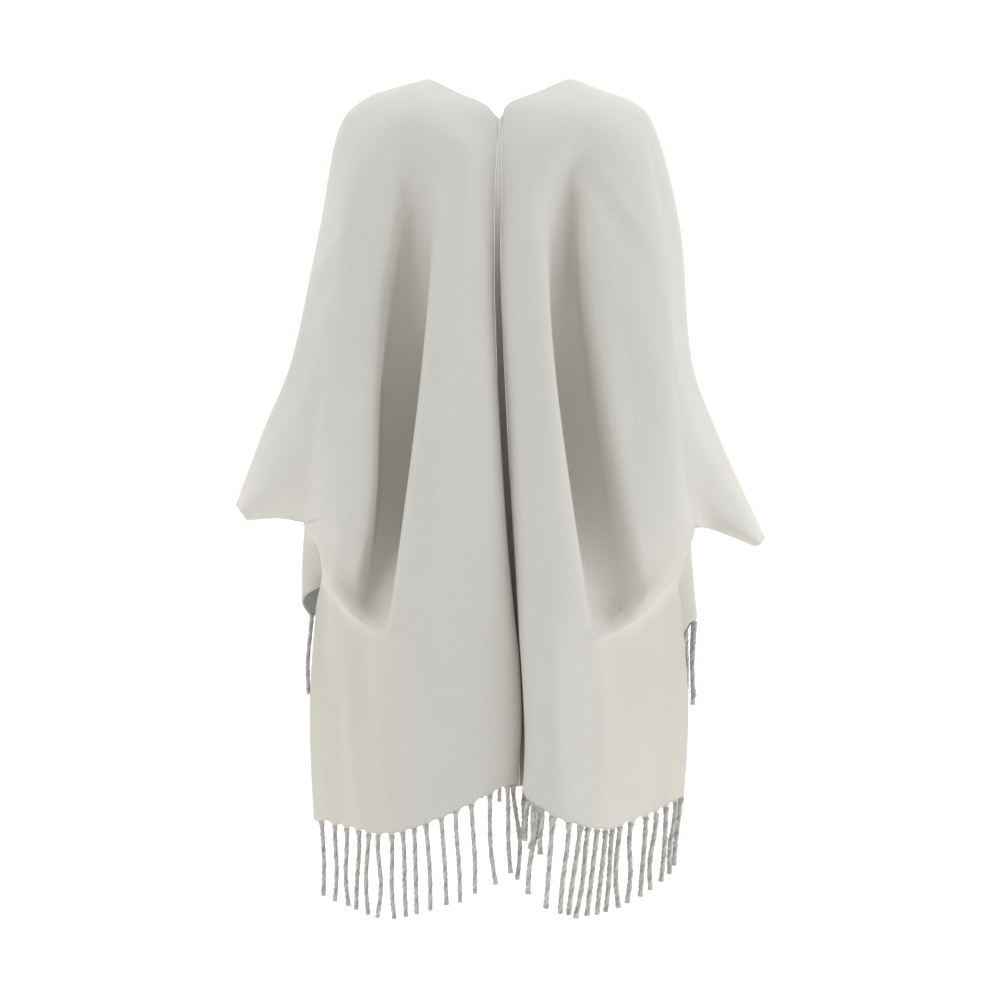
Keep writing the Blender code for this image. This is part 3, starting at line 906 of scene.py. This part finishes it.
def felt(name, light, dark, fleck, fleck_share, sheen, painted_warm_light=None):
    m, tree, shader = nodes_of(name)
    co = tree.nodes.new("ShaderNodeTexCoord").outputs["Object"]
    broad = noise(tree, 9.0, 3.0, co)
    fine = noise(tree, 420.0, 4.0, co)
    nap = noise(tree, 900.0, 3.0, co, 0.7, (1.0, 1.0, 0.35))
    colour = ramp(tree, broad, [(0.3, dark), (0.7, light)])
    colour = mix(tree, colour, ramp(tree, fine, [(0.35, tuple(c * 0.93 for c in light)), (0.65, tuple(min(1, c * 1.04) for c in light))]), 0.45)
    if fleck_share:
        spots = noise(tree, 1300.0, 2.0, co, 0.6, (1.0, 1.0, 0.4))
        colour = mix(tree, colour, fleck, ramp(tree, spots, [(0.62 - fleck_share, (0, 0, 0)), (0.70, (1, 1, 1))]))
    if painted_warm_light:
        # painted warm light: the skirt's lower sides are tinted a little creamier than the middle and the sleeves,
        # standing in for warmer light falling there
        split = tree.nodes.new("ShaderNodeSeparateXYZ")
        tree.links.new(co, split.inputs[0])
        aside = reach(tree, arithmetic(tree, "ABSOLUTE", split.outputs[0]), 0.085, 0.165)
        below = reach(tree, arithmetic(tree, "MULTIPLY", split.outputs[2], -1.0), 0.50, 0.62)
        colour = mix(tree, colour, painted_warm_light, arithmetic(tree, "MULTIPLY", aside, below), "MULTIPLY")
    tree.links.new(colour, shader.inputs["Base Color"])
    shader.inputs["Roughness"].default_value = 0.92
    shader.inputs["Specular IOR Level"].default_value = 0.18
    shader.inputs["Sheen Weight"].default_value = sheen
    shader.inputs["Sheen Roughness"].default_value = 0.45
    shader.inputs["Sheen Tint"].default_value = (1.0, 0.965, 0.91, 1)
    normal = bump(tree, nap, 0.22, 0.0006)
    normal = bump(tree, fine, 0.16, 0.0010, normal)
    tree.links.new(normal, shader.inputs["Normal"])
    return m


def yarn(name, light, dark, sheen=0.25):
    m, tree, shader = nodes_of(name)
    co = tree.nodes.new("ShaderNodeTexCoord").outputs["Object"]
    fibre = noise(tree, 700.0, 4.0, co, 0.65, (1.0, 1.0, 0.30))
    patch = noise(tree, 150.0, 2.0, co)
    colour = ramp(tree, fibre, [(0.34, dark), (0.62, light)])
    colour = mix(tree, colour, light, ramp(tree, patch, [(0.45, (0, 0, 0)), (0.75, (0.6, 0.6, 0.6))]))
    tree.links.new(colour, shader.inputs["Base Color"])
    shader.inputs["Roughness"].default_value = 0.9
    shader.inputs["Specular IOR Level"].default_value = 0.2
    shader.inputs["Sheen Weight"].default_value = sheen
    shader.inputs["Sheen Roughness"].default_value = 0.4
    tree.links.new(bump(tree, fibre, 0.6, 0.0008), shader.inputs["Normal"])
    return m


# the last colour tints the skirt's lower sides creamier: painted warm light, not a dye of the wool
IVORY = felt("wool_ivory_outer", (0.715, 0.690, 0.640), (0.690, 0.664, 0.614), (0.6, 0.59, 0.57), 0.0, 1.0, (1.0, 0.993, 0.955))
HEATHER = felt("wool_heather_inner", (0.60, 0.595, 0.575), (0.46, 0.454, 0.44), (0.60, 0.595, 0.58), 0.10, 0.2)
BAND = felt("seam_band_wool", (0.725, 0.700, 0.650), (0.70, 0.675, 0.625), (0.6, 0.59, 0.57), 0.0, 0.3)
YARN_LIGHT = yarn("yarn_light", (0.71, 0.69, 0.655), (0.41, 0.395, 0.37))
YARN_GREY = yarn("yarn_heather", (0.59, 0.571, 0.54), (0.28, 0.269, 0.252))


# ---------------------------------------------------------------- cloth
def soft(points, normal, creases):
    """Soft creases along short lines, in millimetres: troughs (negative lift) and ridges (positive lift)."""
    out = points.copy()
    x, z = points[:, 0], points[:, 2]
    for face, x0, z0, x1, z1, wide, lift in creases:
        facing = np.clip(normal[:, 1] * (-2.0 if face == "back" else 2.0), 0, 1)
        dx, dz = x1 - x0, z1 - z0
        length = math.hypot(dx, dz)
        t = ((x - x0) * dx + (z - z0) * dz) / length**2
        off = ((x - x0) * dz - (z - z0) * dx) / length
        w = wide * (0.55 + 0.45 * np.clip(t, 0, 1))
        fade = np.clip(1 - ((t - 0.5) / 0.62) ** 2, 0, 1) ** 1.5
        out += normal * (lift * fade * np.exp(-((off / w) ** 2)) * facing)[:, None]
    return out


def crest(points, normal, rows, wide=3.6, below=11.0, spread=10.0):
    """A creased edge along a bent line on the back, left to right, in millimetres: rows of x, z, height of the crest
    and depth of the hollow under it."""
    x, z = points[:, 0], points[:, 2]
    best, move = np.full(len(points), 1e9), np.zeros(len(points))
    for (x0, z0, high0, deep0), (x1, z1, high1, deep1) in zip(rows, rows[1:]):
        dx, dz = x1 - x0, z1 - z0
        t = np.clip(((x - x0) * dx + (z - z0) * dz) / (dx**2 + dz**2), 0, 1)
        away = np.hypot(x - x0 - t * dx, z - z0 - t * dz)
        off = np.where((x - x0) * dz - (z - z0) * dx > 0, away, -away)
        value = (high0 + t * (high1 - high0)) * np.exp(-((off / wide) ** 2))
        value -= (deep0 + t * (deep1 - deep0)) * np.exp(-(((off - below) / spread) ** 2))
        near = away < best
        best[near], move[near] = away[near], value[near]
    return points + normal * (move * np.clip(-2.0 * normal[:, 1], 0, 1))[:, None]


def arc(line):
    return np.r_[0, np.cumsum(np.linalg.norm(np.diff(line, axis=0), axis=1))]


def scallop(points, index, hem_row, step, roots, height):
    """The hem is drawn down to each tassel and arches up between two of them."""
    row = index[hem_row]
    along = arc(points[row])
    roots = np.sort(np.asarray(roots, float))
    mids = np.clip(np.searchsorted(roots, along), 1, len(roots) - 1)
    a, b = roots[mids - 1], roots[mids]
    t = np.clip((along - a) / np.maximum(b - a, 1e-6), 0, 1)
    rise = height * np.clip(np.minimum(b - a, 26) / 18, 0.4, 1.2) * (1 - np.abs(2 * t - 1) ** 2.4)
    rise[along < roots[0]] = 0
    rise[along > roots[-1]] = 0
    edge = points[row][:, 2].copy()
    for k in range(6):
        r = index[hem_row + step * k]
        r = r[:len(row)]
        d = edge - points[r][:, 2]
        share = np.clip(1 - np.abs(d) / 26, 0, 1) ** 2
        points[r, 2] += rise * share


def half(name, node, tables, creases, pocket, back_roots_x, front_spacing, front_shift, front_free):
    rows, first, last, width = net(*tables, COUNTS, STEPS)
    points, faces, index = sheet_of(rows, first, last, width)
    n = normals(points, faces)
    ridge = index[COUNTS[0] + COUNTS[1]][width // 3]
    if n[ridge, 2] < 0:
        faces = faces[:, ::-1].copy()
        n = -n
    points = crest(soft(points, n, creases), n, pocket)
    hem = len(rows) - 1
    line = points[index[hem]].copy()
    along = {hem: arc(line), 0: arc(points[index[0]])}
    back_roots = [float(np.interp(x, line[:, 0] * s, along[hem])) for x, s in root_order(line, back_roots_x)]
    front_roots = np.arange(front_shift, along[0][-1] - front_free, front_spacing)
    scallop(points, index, hem, -1, back_roots, 5.6)
    scallop(points, index, 0, 1, front_roots, 5.6)
    verts, quads, material = shell(points, faces, CLOTH)
    cloth = mesh_piece(name, verts, quads, [IVORY, HEATHER], material)
    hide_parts(node)
    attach(cloth, "root")
    n = normals(points, faces)
    at = lambda row, s: np.array([np.interp(s, along[row], points[index[row]][:, c]) for c in range(3)])
    return {
        "object": cloth, "points": points, "normals": n, "index": index, "hem": hem,
        "back": [at(hem, s) for s in back_roots], "front": [at(0, s) for s in front_roots],
        "seam": [index[r][0] for r in range(COUNTS[0] + COUNTS[1], len(rows))],
        "area": float(np.linalg.norm(np.cross(points[faces[:, 2]] - points[faces[:, 0]], points[faces[:, 3]] - points[faces[:, 1]]), axis=1).sum() / 2e6),
    }


def root_order(line, roots):
    """Each root with the sign that makes the hem's across values increase from centre to side."""
    s = 1.0 if line[-1, 0] > line[0, 0] else -1.0
    return [(x * s, s) for x in roots]


# ---------------------------------------------------------------- tassels
def tassel(rng, root, tip, wave, sides=8, parts=66, plies=3, reach=0.8, ply=1.85, pitch=21.0):
    t = np.linspace(0, 1, parts)
    sway = (t[:, None] ** 1.0)
    path = root + (tip - root) * sway
    bend = rng.normal(0, 1, 4)
    path[:, 0] += wave * (bend[0] * np.sin(np.pi * t) + 0.5 * bend[1] * np.sin(2 * np.pi * t + 0.6))
    path[:, 1] += wave * 0.8 * (bend[2] * np.sin(np.pi * t) + 0.4 * bend[3] * np.sin(2 * np.pi * t))
    length = np.linalg.norm(tip - root)
    turn = 2 * np.pi * length / pitch * rng.uniform(0.9, 1.1)
    phase = rng.uniform(0, 2 * np.pi)
    swell = 1 + 0.07 * np.sin(2 * np.pi * (t * rng.uniform(3, 6) + rng.random())) + 0.05 * np.sin(2 * np.pi * (t * rng.uniform(9, 14) + rng.random()))
    swell *= 1 + 0.30 * np.exp(-((t - 0.0) / 0.05) ** 2) + 0.12 * np.exp(-((t - 1.0) / 0.05) ** 2)
    close = np.ones(parts)
    close[-1] = 0.9
    tangent = np.gradient(path, axis=0)
    tangent /= np.linalg.norm(tangent, axis=1)[:, None]
    u = np.cross(tangent, np.array([0, 1.0, 0]))
    u /= np.linalg.norm(u, axis=1)[:, None]
    v = np.cross(tangent, u)
    verts, faces, material = [], [], []
    for k in range(plies):
        a = phase + turn * t + 2 * np.pi * k / plies
        centre = path + (u * np.cos(a)[:, None] + v * np.sin(a)[:, None]) * (reach * swell * close)[:, None]
        radius = ply * swell * close * (1 + rng.normal(0, 0.045, parts))
        start = len(verts) and sum(len(x) for x in verts)
        ring = np.arange(sides) / sides * 2 * np.pi
        cloud = centre[:, None, :] + (u[:, None, :] * np.cos(ring)[None, :, None] + v[:, None, :] * np.sin(ring)[None, :, None]) * radius[:, None, None]
        verts.append(cloud.reshape(-1, 3))
        for i in range(parts - 1):
            for j in range(sides):
                p, q = start + i * sides + j, start + i * sides + (j + 1) % sides
                faces.append([p, q, q + sides, p + sides])
                material.append(k % 2)
        faces.append([start + j for j in range(sides)][::-1])
        faces.append([start + (parts - 1) * sides + j for j in range(sides)])
        material += [k % 2, k % 2]
    return np.vstack(verts), faces, material


def fringe(name, node, roots, tips, seed, wave=1.3, reach=0.8, ply=1.85):
    rng = np.random.default_rng(seed)
    verts, faces, material, count = [], [], [], 0
    for root, tip in zip(roots, tips):
        v, f, m = tassel(rng, root + np.array([0, 0, 1.5]), tip, wave, reach=reach, ply=ply)
        verts.append(v)
        faces += [[i + count for i in face] for face in f]
        material += m
        count += len(v)
    made = mesh_piece(name, np.vstack(verts), faces, [YARN_LIGHT, YARN_GREY], material)
    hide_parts(node)
    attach(made, "root")
    return made


# ---------------------------------------------------------------- the garment
# Columns: face, start across, start height, end across, end height, width, lift.
LEFT_CREASES = (
    ("back", -190, -512, -155, -525, 5, 2.2),
    ("back", -185, -531, -152, -542, 9, -3.0),
    ("back", -120, -84, -111, -150, 5, -2.2),
    ("back", -181, -158, -227, -236, 12, 2.4),
    ("back", -176, -186, -208, -246, 11, -1.8),
    ("back", -212, -330, -262, -420, 14, 1.4),
    ("back", -60, -700, -66, -800, 16, 1.6),
    ("front", -110, -90, -190, -230, 16, 2.6),
    ("front", -95, -120, -165, -270, 18, -2.6),
    ("front", -210, -430, -262, -470, 10, -2.2),
    ("front", -120, -380, -132, -560, 20, 2.4),
)
RIGHT_CREASES = (
    ("back", 98, -64, 187, -196, 9, 2.6),
    ("back", 86, -80, 165, -200, 12, -2.6),
    ("back", 82, -96, 92, -150, 5, -2.2),
    ("back", 176, -46, 198, -172, 6, -1.6),
    ("back", 226, -392, 262, -470, 14, 1.4),
    ("back", 78, -690, 84, -800, 16, -1.6),
    ("back", 122, -594, 153, -617, 5, -2.6),
    ("front", 104, -84, 182, -240, 15, 2.8),
    ("front", 92, -116, 160, -284, 18, -2.4),
    ("front", 206, -440, 268, -500, 12, -2.2),
    ("front", 130, -360, 148, -600, 22, 2.2),
)
# the bright edge of the pocket-like fold under each sleeve, columns: x, z, crest height, hollow depth
LEFT_POCKET = (
    (-214, -544, 0.0, 0.0),
    (-208, -560, 1.0, 1.6),
    (-198, -580, 1.9, 4.8),
    (-185, -599, 2.3, 6.4),
    (-173, -612, 2.5, 6.0),
    (-160, -620, 2.5, 3.6),
    (-145, -626, 2.3, 1.2),
    (-129, -630, 1.4, 0.5),
    (-118, -631, 0.0, 0.0),
)
RIGHT_POCKET = (
    (91, -646, 0.0, 0.0),
    (103, -643, 1.3, 0.3),
    (119, -637, 2.0, 1.6),
    (140, -629, 2.4, 2.4),
    (155, -620, 2.5, 4.2),
    (170, -611, 2.4, 6.4),
    (181, -598, 2.0, 5.6),
    (198, -581, 1.0, 1.6),
    (207, -568, 0.0, 0.0),
)
# short strands bunched beside the seam, columns as in the tassel tables
BUNCH_RIGHT = ((27, 27, -878), (38, 35, -884), (48, 46, -890))
ROOTED_RIGHT = sorted(TASSELS_RIGHT + BUNCH_RIGHT)
left = half("left_half_cloth", "left_half", (LEFT_BACK, LEFT_BACK_WING, LEFT_FRONT, LEFT_FRONT_WING), LEFT_CREASES, LEFT_POCKET, [row[0] for row in TASSELS_LEFT], 21.0, 5.0, 50.0)
right = half("right_half_cloth", "right_half", (RIGHT_BACK, RIGHT_BACK_WING, RIGHT_FRONT, RIGHT_FRONT_WING), RIGHT_CREASES, RIGHT_POCKET, [row[0] for row in ROOTED_RIGHT], 21.0, 9.0, 4.0)


def tips_from(table, roots):
    return [np.array([row[1], root[1] + 2.0, row[2]]) for row, root in zip(table, roots)]


def tips_below(roots, seed):
    rng = np.random.default_rng(seed)
    return [root + np.array([rng.normal(0, 3.0), rng.normal(0, 2.0), -rng.uniform(88, 98)]) for root in roots]


fringes = [
    fringe("fringe_back_left_tassels", "fringe_back_left", left["back"], tips_from(TASSELS_LEFT, left["back"]), 3),
    fringe("fringe_back_right_tassels", "fringe_back_right", right["back"], tips_from(ROOTED_RIGHT, right["back"]), 5, 2.0, 0.9, 2.15),
    fringe("fringe_front_left_tassels", "fringe_front_left", left["front"], tips_below(left["front"], 7), 7),
    fringe("fringe_front_right_tassels", "fringe_front_right", right["front"], tips_below(right["front"], 9), 9),
]


def seam_band():
    """The strip between the halves, slightly crowned, from the V of the neck to the hem."""
    sides, low = [], []
    for part, sign in ((left, 1), (right, -1)):
        line = part["points"][part["seam"]]
        reach = line[:, 0] + sign * (np.abs(part["normals"][part["seam"]][:, 0]) * CLOTH / 2 + SEAM_GAP)
        keep = line[:, 2] <= BAND_SIDES_TOP + 4
        order = np.argsort(line[keep][:, 2])
        sides.append((line[keep][order][:, 2], reach[keep][order], line[keep][order][:, 1]))
        low.append(line[-1, 2])
    ring = [(-0.5, 0.0), (-0.47, -1.1), (-0.30, -1.5), (0.0, -1.6), (0.30, -1.5), (0.47, -1.1), (0.5, 0.0)]
    ring += [(0.45, 0.9), (0.30, 0.9), (0.0, 0.9), (-0.30, 0.9), (-0.45, 0.9)]
    cap = [(0, 1, 11), (1, 2, 10, 11), (2, 3, 9, 10), (3, 4, 8, 9), (4, 5, 7, 8), (5, 6, 7)]
    verts, faces, levels = [], [], np.linspace(0, 1, 180)
    for t in levels:
        for u, v in ring:
            top = BAND_MIDDLE_TOP + (BAND_SIDES_TOP - BAND_MIDDLE_TOP) * abs(u) * 2
            z = top + (max(low) - top) * t
            xl, xr = (np.interp(z, s[0], s[1]) for s in sides)
            y = sum(np.interp(z, s[0], s[2]) for s in sides) / 2
            verts.append(((xl + xr) / 2 + u * max(xr - xl, 1.0), y + v, z))
    k = len(ring)
    for r in range(len(levels) - 1):
        for i in range(k):
            j = (i + 1) % k
            faces.append([k * r + i, k * r + k + i, k * r + k + j, k * r + j])
    faces += [list(face) for face in cap]
    faces += [[k * (len(levels) - 1) + i for i in face][::-1] for face in cap]
    made = mesh_piece("centre_back_band_felt", verts, faces, [BAND])
    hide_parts("centre_back_band")
    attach(made, "root")
    return made


band = seam_band()

# ---------------------------------------------------------------- stage, light and camera
def stage():
    m, tree, shader = nodes_of("studio_white")
    shader.inputs["Base Color"].default_value = (0.965, 0.945, 0.925, 1)
    shader.inputs["Roughness"].default_value = 0.9
    shader.inputs["Specular IOR Level"].default_value = 0.1
    profile = [(-7.0, 0.0), (3.5, 0.0)]
    profile += [(3.5 + 1.3 * math.sin(a), 1.3 - 1.3 * math.cos(a)) for a in np.linspace(0.15, math.pi / 2, 12)]
    profile += [(4.8, 5.0)]
    verts = [(x, y, z - 1.38) for y, z in profile for x in (-6.0, 6.0)]
    faces = [(2 * i, 2 * i + 1, 2 * i + 3, 2 * i + 2) for i in range(len(profile) - 1)]
    mesh = bpy.data.meshes.new("studio_floor")
    mesh.from_pydata(verts, [], faces)
    mesh.materials.append(m)
    mesh.shade_smooth()
    made = bpy.data.objects.new("studio_floor", mesh)
    bpy.context.scene.collection.objects.link(made)


def area_light(name, place, aim, size, power, colour=(0.95, 0.978, 1.0)):
    data = bpy.data.lights.new(name, "AREA")
    data.shape = "RECTANGLE"
    data.size, data.size_y = size
    data.energy = power
    data.color = colour
    made = bpy.data.objects.new(name, data)
    bpy.context.scene.collection.objects.link(made)
    made.location = place
    from mathutils import Vector
    made.rotation_euler = (Vector(aim) - Vector(place)).to_track_quat("-Z", "Y").to_euler()
    return made


stage()
area_light("left_high", (-3.0, -3.0, 1.8), (0, 0, -0.4), (2.0, 2.0), 32)
area_light("left_side", (-3.6, -0.6, 0.2), (0, 0, -0.4), (2.0, 2.5), 14)
area_light("right_high", (3.0, -3.0, 1.8), (0, 0, -0.4), (2.0, 2.0), 23)
area_light("right_side", (3.6, -0.6, 0.2), (0, 0, -0.4), (2.0, 2.5), 33)
area_light("top", (0.0, -0.4, 2.8), (0, 0, -0.4), (2.5, 2.0), 11)
area_light("backdrop", (0, 1.3, 2.7), (0, 4.4, -0.3), (5.0, 1.8), 125, (1.0, 0.985, 0.965))
world = bpy.data.worlds.new("studio")
world.use_nodes = True
world.node_tree.nodes["Background"].inputs["Color"].default_value = (0.95, 0.978, 1.0, 1)
world.node_tree.nodes["Background"].inputs["Strength"].default_value = 0.53
bpy.context.scene.world = world

lens = bpy.data.cameras.new("camera")
lens.lens = 135
lens.sensor_width = 36
lens.clip_end = 50
camera = bpy.data.objects.new("camera", lens)
camera.location = (0, -4.5, -0.48)
camera.rotation_euler = (math.pi / 2, 0, 0)
bpy.context.scene.collection.objects.link(camera)
bpy.context.scene.camera = camera
bpy.context.scene.view_settings.view_transform = "Standard"
